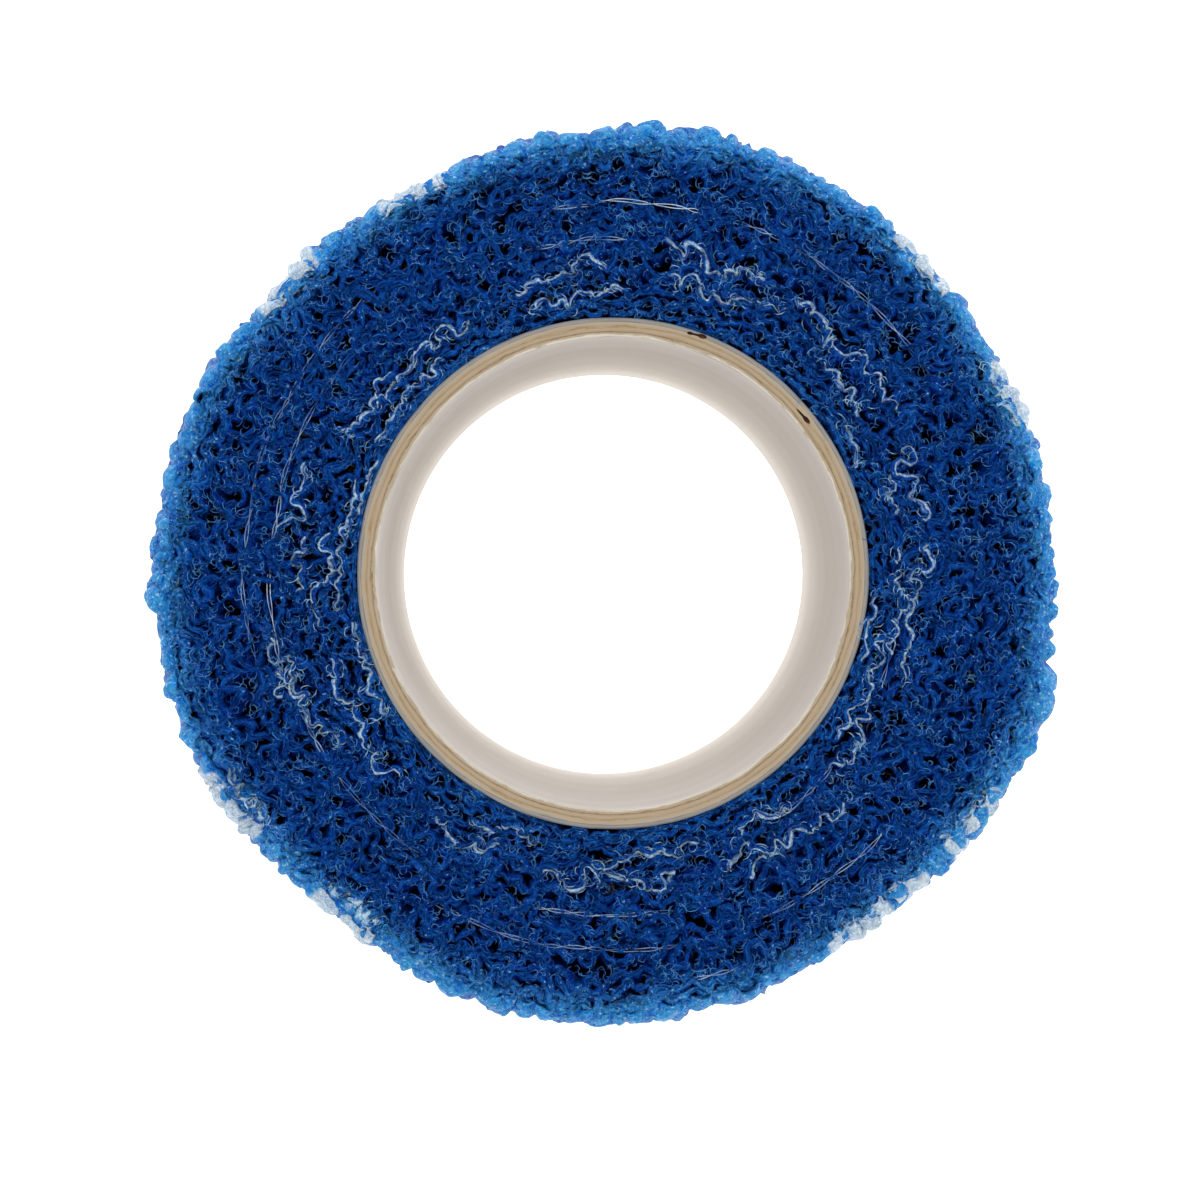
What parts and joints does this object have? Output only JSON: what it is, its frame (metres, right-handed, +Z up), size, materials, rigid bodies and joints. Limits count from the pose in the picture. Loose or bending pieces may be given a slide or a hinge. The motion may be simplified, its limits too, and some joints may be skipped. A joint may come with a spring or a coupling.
{
  "type": "cohesive bandage roll",
  "caption": "Crinkled blue elastic wrap wound on a paperboard core, lying on its slit end with the bore upright and open.",
  "frame": {"origin": "on the axis of the bore, at the surface that the roll lies on", "axes": "+Z up along the bore, from the end that the roll lies on to the end that shows; the wrap's stuck-down tail is 13 degrees from +X towards -Y"},
  "size_m": [0.05, 0.0497, 0.05],
  "materials": {
    "core_paperboard": "grey-brown wound plies at the rims with a smooth off-white inner liner",
    "wrap_nonwoven": "crinkled self-adhering blue nonwoven with a slight latex gloss and pale printed bars"
  },
  "bodies": {
    "root": {"paper_core": "core_paperboard", "wound_wrap": "wrap_nonwoven"}
  },
  "joints": []
}
